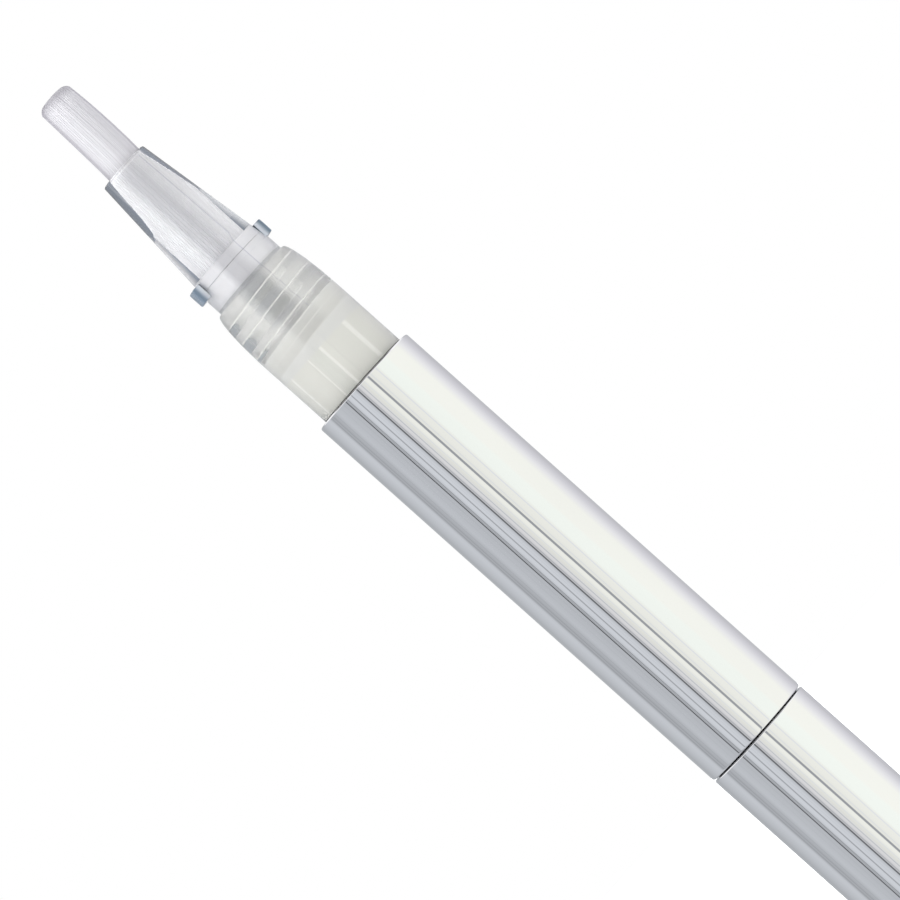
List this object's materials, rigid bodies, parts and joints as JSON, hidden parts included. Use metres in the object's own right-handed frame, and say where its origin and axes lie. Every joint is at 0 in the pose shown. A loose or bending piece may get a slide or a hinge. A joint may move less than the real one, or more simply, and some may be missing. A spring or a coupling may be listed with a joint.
{
  "type": "nail oil pen",
  "caption": "Slim twist-up dispensing pen with a bristle tip: turning the knob drives a screw and a piston that feed oil from the barrel to the brush.",
  "frame": {"origin": "centre of the flat tail face, at the pen's lowest point as it stands", "axes": "+Z along the pen's axis from the tail to the end of the bristles; the nozzle's two lugs lie 16 degrees from the X axis, turned about +Z"},
  "size_m": [0.012, 0.012, 0.119],
  "materials": {
    "polished_shell": "polished",
    "milky_plastic": "satin",
    "clear_plastic": "polished",
    "nylon_bristle": "satin",
    "white_plastic": "satin",
    "natural_plastic": "satin",
    "grey_plastic": "matte",
    "soft_seal": "matte"
  },
  "bodies": {
    "barrel": {"barrel_shell": "polished_shell", "collar": "milky_plastic", "nozzle": "clear_plastic", "bristles": "nylon_bristle", "feed_tube": "clear_plastic", "tube_joint": "white_plastic", "neck_seal": "soft_seal", "reservoir": "natural_plastic", "screw_nut": "grey_plastic", "ratchet_ring": "grey_plastic"},
    "knob": {"knob_shell": "polished_shell", "drive_tube": "grey_plastic", "click_pawl": "grey_plastic"},
    "screw": {"lead_screw": "white_plastic"},
    "piston": {"piston": "white_plastic"}
  },
  "joints": [
    {"name": "knob_twist", "type": "hinge", "parent": "barrel", "child": "knob", "pos_m": [0, 0, 0.03006], "axis": [0, 0, 1], "range_deg": [0, 3960], "deforming": ["click_pawl"]},
    {"name": "screw_feed", "type": "slide", "parent": "knob", "child": "screw", "axis": [0, 0, 1], "range_m": [0, 0.02751]},
    {"name": "piston_feed", "type": "slide", "parent": "barrel", "child": "piston", "axis": [0, 0, 1], "range_m": [0, 0.02751]}
  ],
  "couplings": [
    {"joint": "screw_feed", "follows": "knob_twist", "m_per_rad": 0.00039789},
    {"joint": "piston_feed", "follows": "knob_twist", "m_per_rad": 0.00039789}
  ]
}
